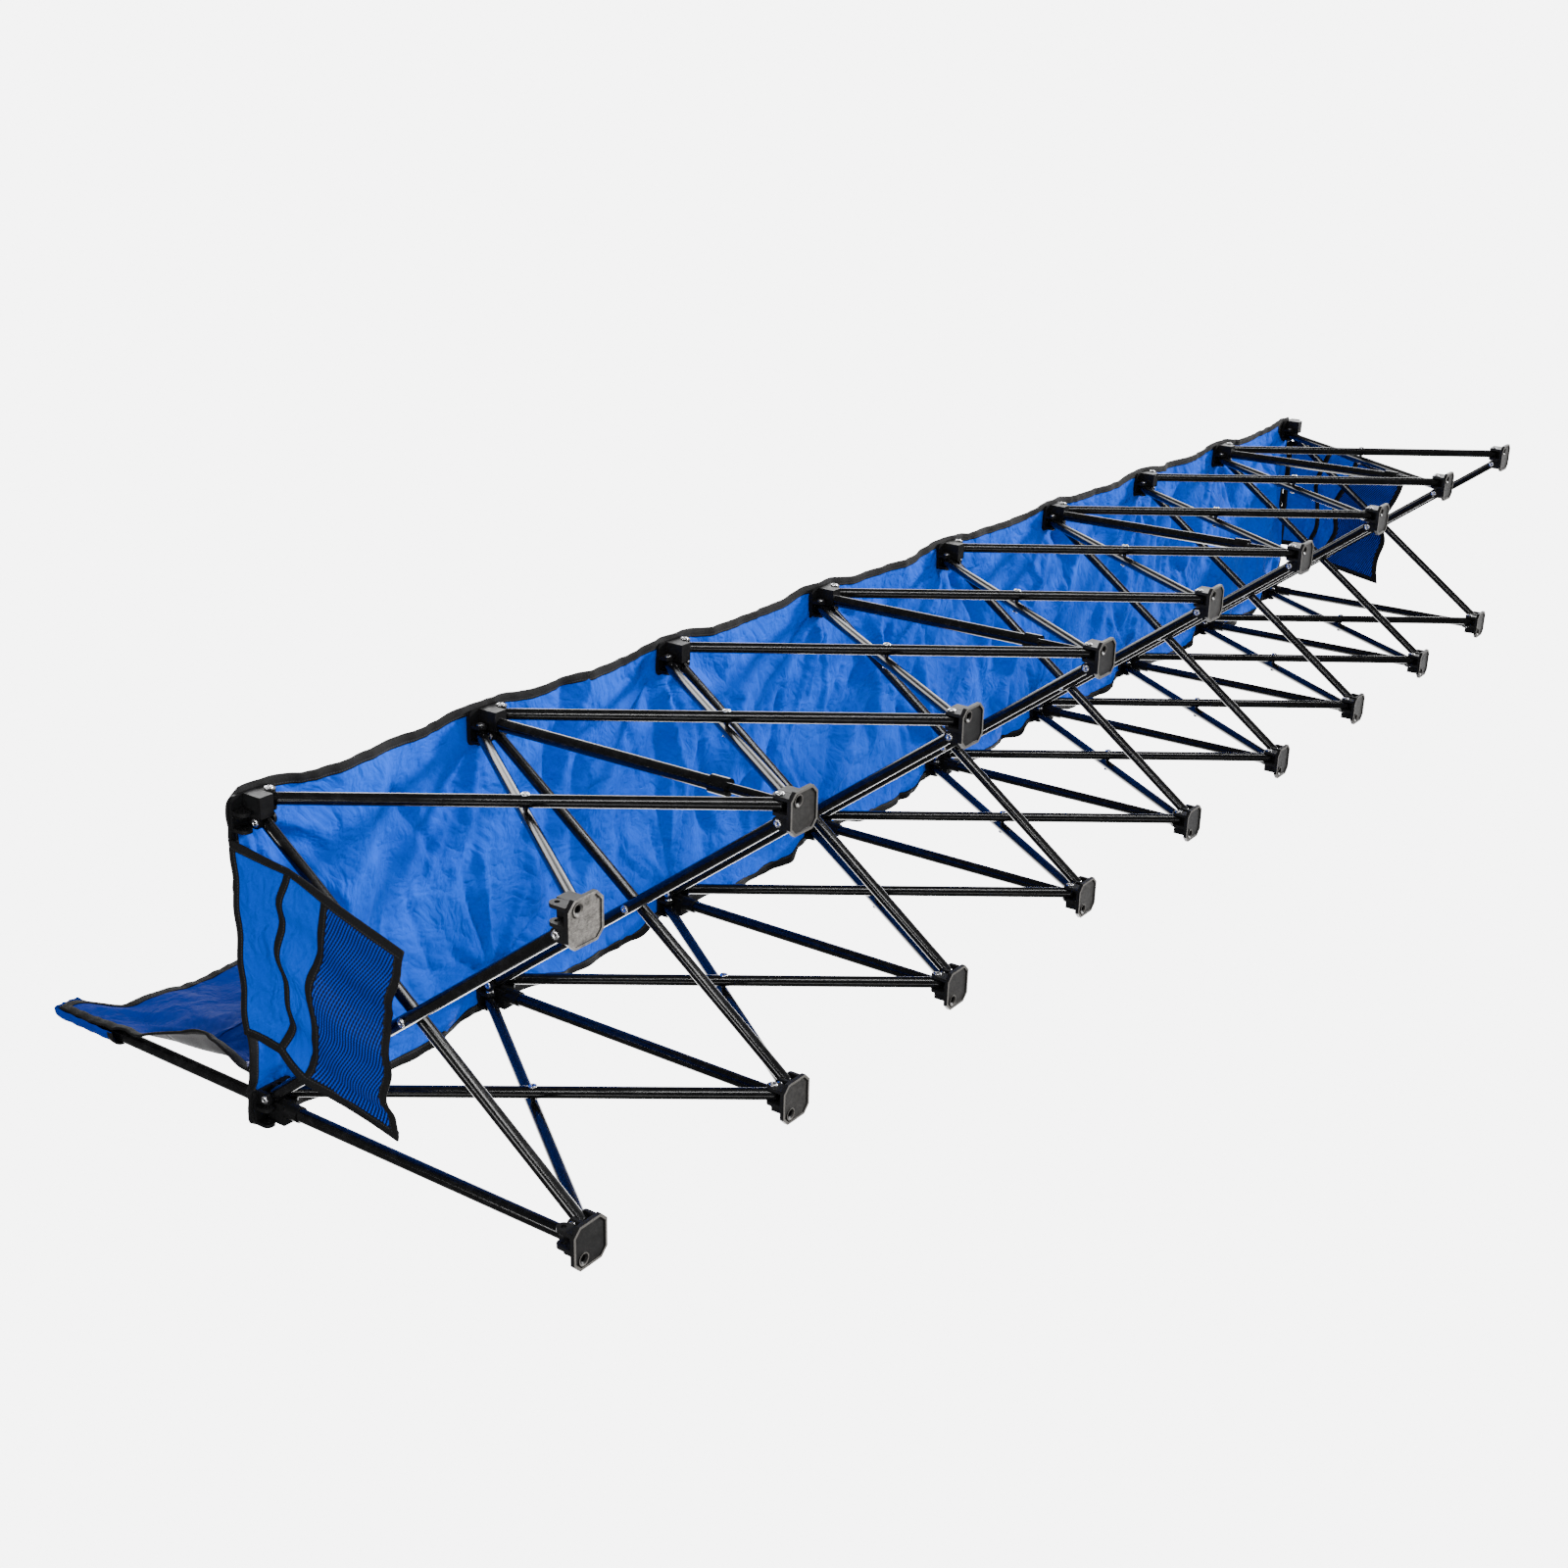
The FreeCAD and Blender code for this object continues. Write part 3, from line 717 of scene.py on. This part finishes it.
waves = np.zeros((rows, cols))
for _ in range(26):
    kx, ky = rng.uniform(8, 60), rng.uniform(-25, 25)
    waves += rng.uniform(0.2, 1.0) * np.sin(kx * flat_x + ky * flat_y + rng.uniform(0, 6.3))
waves *= 0.0011 / 2.2
clear_of_hub = np.clip(near_station / 0.09, 0, 1)
seat_start = np.stack([flat_x, flat_y, SEAT_Z + waves * clear_of_hub], axis=2)
seat_pts = settled(
    "seat_cloth_sim", seat_start, at_hub, (0, 6.5, -2.0), 34, 0.011, 22, 0.35
)
seat_pts = relax(seat_pts)

seat_flat, seat_pts = finer(seat_flat), finer(seat_pts)
flat_x, flat_y = seat_flat[..., 0], seat_flat[..., 1]
near_station = np.min(np.abs(flat_x[:, :, None] - np.array(XS)[None, None]), axis=2)
hub_gap = np.hypot(near_station, np.minimum(np.abs(flat_y - FRONT), np.abs(flat_y - REAR)))
loose = smoothstep((hub_gap - 0.018) / 0.02)
seat_pts[..., 2] += 1.35 * fold_lines(seat_flat, seat_folds()) * loose
# the rear edge flutters, and stays within reach of the frame's depth
flutter = np.sin(flat_x * 61) * 0.5 + np.sin(flat_x * 97 + 1.0) * 0.35
flutter = flutter + np.sin(flat_x * 23 + 2) * 0.5
seat_pts[..., 2] += 0.0055 * flutter * smoothstep((flat_y - 0.185) / 0.03) * loose
over = np.maximum(seat_pts[..., 1] - 0.204, 0)
seat_pts[..., 1] -= over - 0.0125 * (1 - np.exp(-over / 0.0125))

# a round hole for each post
centre_x = (flat_x[:-1, :-1] + flat_x[1:, 1:]) / 2
centre_y = (flat_y[:-1, :-1] + flat_y[1:, 1:]) / 2
seat_keep = np.ones(centre_x.shape, bool)
for x in XS:
    seat_keep &= np.hypot(centre_x - x, centre_y - POST_Y) > 0.0125
verts, faces, uv, sides = thick_sheet(seat_pts, seat_flat, 0.0008, seat_keep)
seat = mesh_piece("seat_cloth", verts, faces, BLUE, "upper_4", uv)
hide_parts("seat_sheet")

seat_trim = [bound_edge("seat_binding", seat_pts, BINDING, 0.0032, "upper_4")]


def flat_patch(name, outline, z, thick, material, body):
    """A flat patch from its outline, with bevelled edges."""
    outline = np.asarray(outline, float)
    middle = outline.mean(0)
    shrunk = middle + (outline - middle) * 0.96
    n = len(outline)
    verts, uv = [], []
    for ring, height in ((shrunk, z - thick), (outline, z - thick * 0.6), (outline, z)):
        verts += [(x, y, height) for x, y in ring]
        uv += [(x, y) for x, y in ring]
    faces = [tuple(range(n))[::-1]]
    for k in range(2):
        for i in range(n):
            j = (i + 1) % n
            faces.append((k * n + i, k * n + j, (k + 1) * n + j, (k + 1) * n + i))
    faces.append(tuple(2 * n + i for i in range(n)))
    return mesh_piece(name, verts, faces, material, body, uv, smooth=False)


def rounded_rectangle(x, y, half_x, half_y, corner, steps=5):
    points = []
    for sx, sy, start in ((1, 1, 0), (-1, 1, 90), (-1, -1, 180), (1, -1, 270)):
        for k in range(steps + 1):
            a = math.radians(start + 90 * k / steps)
            points.append(
                (
                    x + sx * (half_x - corner) + corner * math.cos(a),
                    y + sy * (half_y - corner) + corner * math.sin(a),
                )
            )
    return points


def ring(name, centre, inner, outer, z_low, z_high, material, body, slot, sides=28):
    """A flat ring with rounded rims, lying level."""
    profile = [
        (inner, z_low + 0.0004),
        (inner + 0.0008, z_low),
        (outer - 0.0012, z_low),
        (outer, (z_low + z_high) / 2),
        (outer - 0.0012, z_high),
        (inner + 0.0008, z_high),
        (inner, z_high - 0.0004),
    ]
    verts, faces, uv = [], [], []
    m = len(profile)
    for k in range(sides):
        a = 2 * math.pi * k / sides
        for r, z in profile:
            verts.append((centre[0] + r * math.cos(a), centre[1] + r * math.sin(a), z))
            uv.append((a * outer, r))
    for k in range(sides):
        for i in range(m):
            j = (i + 1) % m
            here, there = k * m, ((k + 1) % sides) * m
            faces.append((here + i, there + i, there + j, here + j))
    return mesh_piece(name, verts, faces, material, body, uv)


for i, x in enumerate(XS):
    for y, where in ((FRONT, "front"), (REAR, "rear")):
        middle = x + (0.017 if i == 0 else -0.017 if i == STATIONS - 1 else 0)
        outline = rounded_rectangle(middle, y + (0.004 if y < 0 else -0.006), 0.024, 0.021, 0.008)
        seat_trim.append(
            flat_patch(
                f"hub_patch_{where}_{i}", outline, SEAT_Z - 0.0006, 0.0011, TAPE,
                "upper_4",
            )
        )
    seat_trim.append(
        ring(f"post_eyelet_{i}", (x, POST_Y), 0.0092, 0.0205, SEAT_Z - 0.0015, SEAT_Z + 0.0015,
             TAPE, "upper_4", "seat_cloth")
    )

for piece in [seat, *seat_trim]:
    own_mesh(piece)


# ---------------------------------------------------------------- back

BACK_HALF = 1.414
back_rows, back_cols = 40, 285
back_x = np.linspace(-BACK_HALF, BACK_HALF, back_cols)
gap = np.min(np.abs(back_x[:, None] - np.array(XS)[None]), axis=1)
# the top edge dips between the sleeves
peak = np.clip(1 - (gap - 0.013) / 0.030, 0, 1) ** 1.6
top_z = 0.750 + 0.006 * (1 - np.clip(gap / 0.175, 0, 1)) + 0.056 * peak
LOW_Z = 0.470
v = np.linspace(0, 1, back_rows)[:, None]
z_grid = LOW_Z * (1 - v) + top_z[None] * v
# ahead of the posts the cloth runs up from the seat's seam; its ends belly forwards
profile_z = np.array([0.470, 0.495, 0.520, 0.546, 0.592, 0.636, 0.687, 0.711, 0.760, 0.815])
profile_y = np.array([0.137, 0.128, 0.119, 0.116, 0.126, 0.136, 0.151, 0.159, 0.1635, 0.1640])
inner_y = np.array([0.140, 0.146, 0.151, 0.155, 0.159, 0.161, 0.163, 0.1635, 0.1640, 0.1640])
x_grid = np.repeat(back_x[None], back_rows, axis=0)
at_end = smoothstep((np.abs(x_grid) - (BACK_HALF - 0.036)) / 0.036)
end_shape = np.interp(z_grid, profile_z, profile_y)
inner_shape = np.interp(z_grid, profile_z, inner_y)
y_grid = end_shape * at_end + inner_shape * (1 - at_end)
ripple = np.zeros_like(z_grid)
for _ in range(22):
    kx, kz = rng.uniform(8, 45), rng.uniform(-30, 30)
    ripple += rng.uniform(0.2, 1.0) * np.sin(kx * x_grid + kz * z_grid + rng.uniform(0, 6.3))
ripple *= 0.0016 / 2.2
near_post = np.clip(gap / 0.10, 0, 1)[None]
free = np.clip((z_grid - 0.475) / 0.05, 0, 1)
y_grid = y_grid + ripple * near_post * free
back_start = np.stack([x_grid, y_grid, z_grid], axis=2)
on_post = (gap[None] < 0.014) & (z_grid > 0.700)
on_seam = np.zeros_like(on_post)
on_seam[0] = True
run_z = np.concatenate([[0], np.cumsum(np.hypot(np.diff(profile_z), np.diff(profile_y)))])
flat_v = np.interp(z_grid, profile_z, run_z)
back_flat = np.stack([x_grid, flat_v], axis=2)
back_pts = settled(
    "back_cloth_sim", back_start, on_post | on_seam, (0, 1.2, -3.0), 22, 0.012, 20, 0.4
)
back_pts = relax(back_pts)

back_flat, back_pts = finer(back_flat), finer(back_pts)


def back_folds():
    lines = []
    for i, x in enumerate(XS):
        for k in range(6):
            angle = math.radians(-90 + rng.uniform(-75, 75))
            lines.append(
                (x + 0.018 * math.cos(angle), rng.uniform(0.20, 0.27), angle,
                 rng.uniform(0.07, 0.2),
                 rng.uniform(0.006, 0.014), rng.choice((-1, 1)) * rng.uniform(0.0015, 0.004))
            )
    for k in range(46):
        lines.append(
            (rng.uniform(-1.38, 1.30), rng.uniform(0.03, 0.22), math.radians(rng.uniform(-80, 80)),
             rng.uniform(0.10, 0.26), rng.uniform(0.008, 0.02),
             rng.choice((-1, 1)) * rng.uniform(0.0015, 0.004))
        )
    return lines


back_gap = np.min(np.abs(back_flat[:, :, :1] - np.array(XS)[None, None]), axis=2)
back_loose = smoothstep((back_gap - 0.014) / 0.03) * smoothstep(back_flat[..., 1] / 0.03)
back_push = fold_lines(back_flat, back_folds()) * back_loose
back_pts[..., 1] += np.minimum(back_push, 0.004)


def back_part(name, rows_used, body):
    """Part of the back, blue in front and lined behind."""
    points, flat = back_pts[rows_used], back_flat[rows_used]
    verts, faces, uv, sides = thick_sheet(points, flat, 0.0010)
    # whether side 0, the side that the grid's normals point to, is the lining's
    lined = grid_normals(back_pts)[back_rows, back_cols][1] > 0
    part = mesh_piece(name, verts, faces, [BLUE_BACK, LINING], body, uv)
    for polygon, side in zip(part.data.polygons, sides):
        polygon.material_index = 1 if (side == 0) == lined else 0
    return part


# A seam divides the back: below it the cloth is sewn to the seat and rises with it, and
# above it the cloth stays on the posts.
SEAM = 36
back = back_part("back_cloth", slice(SEAM, None), "lower_4")
skirt = back_part("back_skirt", slice(0, SEAM + 1), "upper_4")
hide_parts("backrest_sheet")
back_trim = [
    bound_edge("back_binding", back_pts[SEAM:], BINDING, 0.0034, "lower_4", "first")
]
skirt_trim = [
    bound_edge("skirt_binding", back_pts[: SEAM + 1], BINDING, 0.0034, "upper_4",
               "last")
]
path, inward, normal = edge_of(back_pts[SEAM:], 0, 1)
back_trim.append(
    tape("back_seam", path - inward * 0.003 + normal * 0.0009, inward, normal, 0.0075, 0.0012,
         "lower_4", material=BLUE_BACK)
)


def post_sleeve(index, x):
    """The rear half of a sleeve: a pocket round the back of the post, closed over its top."""
    around, tall, cap = 19, 16, 4
    low, high = 0.711, 0.8165
    points = np.zeros((tall + cap, around, 3))
    for r in range(tall + cap):
        closing = max(0.0, (r - tall + 1) / cap)
        z = low + (high - low) * min(r / (tall - 1), 1.0)
        if closing:
            z = high + 0.0022 * math.sin(closing * math.pi / 2)
        scale = math.cos(closing * math.pi / 2) if closing else 1.0
        narrow = 0.35 + 0.65 * scale if closing else 1
        for c in range(around):
            a = math.pi * c / (around - 1)
            dx = (0.0165 - 0.003 * math.sin(a) ** 2) * math.cos(a)
            dy = 0.0205 * math.sin(a) ** 0.8
            crease = 0.0006 * math.sin(r * 1.9 + index + 3 * a)
            points[r, c] = (x + dx * narrow, 0.1645 + dy * scale + crease, z)
    flat = np.zeros((tall + cap, around, 2))
    flat[:, :, 0] = np.linspace(0, 0.05, around)[None]
    flat[:, :, 1] = np.linspace(0, 0.12, tall + cap)[:, None]
    verts, faces, uv, _ = thick_sheet(points, flat, 0.0010)
    name, body = f"post_sleeve_{index}", f"lower_{index}"
    return mesh_piece(name, verts, faces, BLUE_BACK, body, uv), points


sleeves = []
for i, x in enumerate(XS):
    sleeve, pts = post_sleeve(i, x)
    path, inward, normal = edge_of(pts, 0, 2)
    sleeves += [
        sleeve,
        tape(f"sleeve_hem_{i}", path, inward, normal, 0.009, 0.0026, f"lower_{i}"),
    ]


def bar_tack(name, centre, along, across, body):
    """A dense row of stitches: a short zigzag thread over the cloth."""
    along, across = unit(along), unit(across)
    out = unit(np.cross(along, across))
    radius, span, wide, turns = 0.00055, 0.011, 0.0042, 9
    path = []
    for k in range(turns + 1):
        side = 1 if k % 2 else -1
        path.append(np.array(centre) + along * (k / turns - 0.5) * span + across * side * wide / 2)
    verts, faces = [], []
    for k, p in enumerate(path):
        for t in range(6):
            a = math.pi * t / 3
            verts.append(p + along * radius * math.cos(a) + out * radius * math.sin(a))
    for k in range(len(path) - 1):
        for t in range(6):
            m = (t + 1) % 6
            faces.append((k * 6 + t, k * 6 + m, (k + 1) * 6 + m, (k + 1) * 6 + t))
    faces.append(tuple(range(6))[::-1])
    faces.append(tuple(len(path) * 6 - 6 + t for t in range(6)))
    return mesh_piece(name, verts, faces, LILAC, body)


for side, end in ((-1, "left"), (1, "right")):
    column = back_pts[:, 0] if side < 0 else back_pts[:, -1]
    low = column[0]
    for k, up_by in enumerate((0.004, 0.011)):
        spot = low + np.array([-side * 0.0050, -0.0030, up_by])
        skirt_trim.append(
            bar_tack(f"bar_tack_{end}_{k}", spot, (0, 1, 0), (0, 0, 1), "upper_4")
        )

for piece in [back, skirt, *back_trim, *skirt_trim]:
    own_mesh(piece)


# ---------------------------------------------------------------- end panels


def end_panel(side, name, body):
    """The hanging panel at one end: cloth above, a mesh pocket below, tape along each seam."""
    rows, cols = 45, 60
    s = np.linspace(0, 1, cols)[None]
    t = np.linspace(0, 1, rows)[:, None]
    # (y, z) along the top, the two seams and the bottom, from front to rear
    lines = [
        [(-0.143, 0.459), (0.080, 0.459)],
        [(-0.138, 0.363), (-0.096, 0.382), (-0.045, 0.391), (-0.012, 0.381), (0.041, 0.377),
         (0.079, 0.396)],
        [(-0.123, 0.308), (-0.065, 0.324), (-0.018, 0.348), (0.037, 0.336), (0.106, 0.365)],
        [(-0.092, 0.206), (-0.064, 0.211), (0.001, 0.240), (0.046, 0.229), (0.082, 0.242),
         (0.130, 0.234)],
    ]
    level = (0.0, 0.35, 0.60, 1.0)
    curves = []
    for line in lines:
        line = np.array(line)
        run = np.concatenate([[0], np.cumsum(np.linalg.norm(np.diff(line, axis=0), axis=1))])
        curve = np.stack([np.interp(s[0], run / run[-1], line[:, k]) for k in (0, 1)], axis=1)
        curves.append(smooth_line(curve, 10))
    curves = np.array(curves)
    yz = np.zeros((rows, cols, 2))
    for k in (0, 1):
        for c in range(cols):
            yz[:, c, k] = np.interp(t[:, 0], level, curves[:, c, k])
    # folds run down the panel and deepen towards the bottom
    grow = smoothstep(t * 1.6)
    wander = 2 * np.pi * (s + 0.05 * np.sin(5 * t))
    fold = np.sin(1.9 * wander + 0.4) + 0.5 * np.sin(3.8 * wander + 1.9)
    out = 0.0035 + 0.0050 * grow * fold + 0.0012 * np.sin(23 * s + 9 * t)
    start = 1.4225 + 0.002 * s
    x = side * (start + (1.4275 - start) * smoothstep(t / 0.4) + np.maximum(out, -0.002))
    pts = np.stack([x, yz[..., 0], yz[..., 1]], axis=2)
    width, height = 0.235, 0.262
    flat = np.stack([np.repeat(s * width, rows, 0), np.repeat(t * height, cols, 1)], axis=2)
    seams = level[1:3]
    mesh_rows = int(round(seams[1] * (rows - 1)))
    verts, faces, uv, _ = thick_sheet(pts[: mesh_rows + 1], flat[: mesh_rows + 1], 0.0009)
    panel = mesh_piece(f"{name}_cloth", verts, faces, BLUE, body, uv)
    verts, faces, uv, _ = thick_sheet(pts[mesh_rows:], flat[mesh_rows:], 0.0006)
    pocket = mesh_piece(f"{name}_mesh", verts, faces, MESH, body, uv)
    normals = grid_normals(pts)
    for k, at in enumerate((0.0, *seams, 1.0)):
        row = at * (rows - 1)
        lo, w = int(row), row - int(row)
        hi = min(lo + 1, rows - 1)
        path = pts[lo] * (1 - w) + pts[hi] * w
        other = pts[min(hi + 1, rows - 1)] if at < 1 else pts[-3]
        inward = unit(other - path) if at < 1 else unit(pts[-3] - path)
        tape(f"{name}_tape_{k}", path - inward * (0.005 if 0 < at < 1 else 0), inward,
                 normals[lo], 0.0105, 0.0030, body)
    for k, edge in enumerate((2, 3)):
        path, inward, normal = edge_of(pts, edge, 1)
        tape(f"{name}_side_{k}", path, inward, normal, 0.0105, 0.0034, body)
    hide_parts(name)
    return panel


end_panel(-1, "end_panel_left", "upper_0")
end_panel(1, "end_panel_right", "upper_8")


# ---------------------------------------------------------------- rivets


def domed_head(centre, direction, radius, height, sides=20):
    """A domed rivet head with a dimple, as vertices and faces. It covers the plain head."""
    d = Vector(direction).normalized()
    a = d.orthogonal().normalized()
    b = d.cross(a)
    rings = [
        (radius, 0.0),
        (radius, height * 0.35),
        (radius * 0.93, height * 0.68),
        (radius * 0.72, height * 0.92),
        (radius * 0.46, height),
        (radius * 0.36, height * 0.80),
        (radius * 0.16, height * 0.66),
    ]
    verts, faces = [], []
    for r, z in rings:
        for k in range(sides):
            t = 2 * math.pi * k / sides
            verts.append(Vector(centre) + a * (r * math.cos(t)) + b * (r * math.sin(t)) + d * z)
    for j in range(len(rings) - 1):
        for k in range(sides):
            m = (k + 1) % sides
            faces.append((j * sides + k, j * sides + m, (j + 1) * sides + m, (j + 1) * sides + k))
    faces.append(tuple((len(rings) - 1) * sides + k for k in range(sides)))
    faces.append(tuple(range(sides))[::-1])
    return verts, faces


def rivet_heads(name, places, body, radius=0.0050, height=0.0021):
    verts, faces = [], []
    for centre, direction in places:
        v1, f1 = domed_head(centre, direction, radius, height)
        base = len(verts)
        verts += v1
        faces += [tuple(base + i for i in f) for f in f1]
    return mesh_piece(name, verts, faces, METAL, body)


def joint_rivets(i, upper):
    z = SEAT if upper else FOOT
    heads = []
    for plane, inward in ((FRONT, 1), (REAR, -1)):
        for side in (-1, 1):
            if (side < 0 and i == 0) or (side > 0 and i == STATIONS - 1):
                continue
            layer = -side if upper else side
            x = XS[i] + side * PIN
            heads.append(((x, plane + layer * HUB_OUT, z), (0, layer, 0)))
            heads.append(((x, plane - layer * HUB_IN, z), (0, -layer, 0)))
        across = 1 if upper == (inward > 0) else -1
        y = plane + inward * SIDE_PIN
        heads.append(((XS[i] + across * HUB_OUT, y, z), (across, 0, 0)))
        heads.append(((XS[i] - across * HUB_IN, y, z), (-across, 0, 0)))
    return heads


CROSS_Z = (FOOT + SEAT) / 2
for i in range(STATIONS):
    rivet_heads(f"hub_rivets_{i}", joint_rivets(i, True), f"upper_{i}")
    low = joint_rivets(i, False)
    for side in (-1, 1):
        low.append(((XS[i] + side * (LAYER + 0.007), 0, CROSS_Z), (side, 0, 0)))
    rivet_heads(f"foot_rivets_{i}", low, f"lower_{i}")
for bay in range(STATIONS - 1):
    middle = (XS[bay] + XS[bay + 1]) / 2
    heads = []
    for plane in (FRONT, REAR):
        for side in (-1, 1):
            heads.append(((middle, plane + side * (LAYER + 0.007), CROSS_Z), (0, side, 0)))
    rivet_heads(f"crossing_rivets_{bay}", heads, f"falling_{bay}")


# ---------------------------------------------------------------- stage, light, camera


def floor_material():
    """Pale floor that is clear from below, because the camera looks up past it."""
    n = Nodes("pale_floor")
    at = n.coords()
    cloud = n.noise(at, 1.5, 4)
    n.set(Base_Color=n.mix(cloud, (0.80, 0.80, 0.80), (0.86, 0.86, 0.86)), Roughness=0.65)
    clear = n.add("BsdfTransparent")
    both = n.add("MixShader")
    n.link(n.add("NewGeometry").outputs["Backfacing"], both.inputs[0])
    n.link(n.bsdf.outputs[0], both.inputs[1])
    n.link(clear.outputs[0], both.inputs[2])
    n.link(both.outputs[0], n.out.inputs["Surface"])
    return n.mat


size = 14.0
data = bpy.data.meshes.new("floor")
corners = [(-size, -size, 0), (size, -size, 0), (size, size, 0), (-size, size, 0)]
data.from_pydata(corners, [], [(0, 1, 2, 3)])
data.materials.append(floor_material())
floor = bpy.data.objects.new("floor", data)
bpy.context.scene.collection.objects.link(floor)
floor.location.z = -0.0004
floor.visible_shadow = False
floor.visible_glossy = False

def studio_world(backdrop, dim, bright):
    """Dim studio walls, with one bright white backdrop in the direction given."""
    world = bpy.data.worlds.new("studio")
    world.use_nodes = True
    tree = world.node_tree
    add, link = tree.nodes.new, tree.links.new
    place = add("ShaderNodeTexCoord")
    facing = add("ShaderNodeVectorMath")
    facing.operation = "DOT_PRODUCT"
    facing.inputs[1].default_value = Vector(backdrop).normalized()
    link(place.outputs["Generated"], facing.inputs[0])
    spread = add("ShaderNodeMapRange")
    spread.interpolation_type = "SMOOTHSTEP"
    spread.inputs["From Min"].default_value = 0.62
    spread.inputs["From Max"].default_value = 0.86
    spread.inputs["To Min"].default_value = dim
    spread.inputs["To Max"].default_value = bright
    link(facing.outputs["Value"], spread.inputs["Value"])
    link(spread.outputs["Result"], tree.nodes["Background"].inputs["Strength"])
    tree.nodes["Background"].inputs["Color"].default_value = (1, 1, 1, 1)
    bpy.context.scene.world = world


studio_world((0.769, 0.352, 0.534), 0.14, 6.5)


def area_light(name, place, target, size, energy):
    light = bpy.data.lights.new(name, "AREA")
    light.shape = "RECTANGLE"
    light.size, light.size_y = size
    light.energy = energy
    obj = bpy.data.objects.new(name, light)
    bpy.context.scene.collection.objects.link(obj)
    obj.location = place
    obj.rotation_euler = (Vector(target) - Vector(place)).to_track_quat("-Z", "Y").to_euler()
    return obj


area_light("front_strip", (-0.9, -2.5, -0.75), (0, 0, 0.32), (4.6, 0.13), 85)
area_light("end_strip", (-3.6, -0.3, 0.5), (-0.9, 0, 0.35), (0.2, 2.2), 45)
area_light("under_strip", (-2.9, 0.9, -1.7), (0.0, 0.05, 0.45), (0.4, 3.0), 30)
rake = bpy.data.objects.new("rake", bpy.data.lights.new("rake", "SUN"))
rake.data.energy, rake.data.angle = 11.5, math.radians(9)
rake.rotation_euler = Vector((-0.74, 0.30, 0.42)).to_track_quat("-Z", "Y").to_euler()
bpy.context.scene.collection.objects.link(rake)
area_light("top_soft", (0.5, -1.2, 3.2), (0, 0, 0.4), (3.6, 1.0), 75)
area_light("back_strip", (1.0, 3.0, 1.4), (0, 0, 0.4), (3.6, 0.3), 45)

camera = bpy.data.cameras.new("camera")
camera.lens = 45.92
camera.sensor_width = 36
camera.clip_start, camera.clip_end = 0.05, 60
camera.dof.use_dof = False
view = bpy.data.objects.new("camera", camera)
bpy.context.scene.collection.objects.link(view)
right, up, back_of = (
    (0.57705, -0.02138, -0.81643),
    (0.27624, -0.93563, 0.21975),
    (-0.76857, -0.35234, -0.53400),
)
turn = Matrix((right, up, back_of)).transposed().to_4x4()
view.matrix_world = Matrix.Translation((-2.6654, -0.9362, -1.0956)) @ turn
bpy.context.scene.camera = view
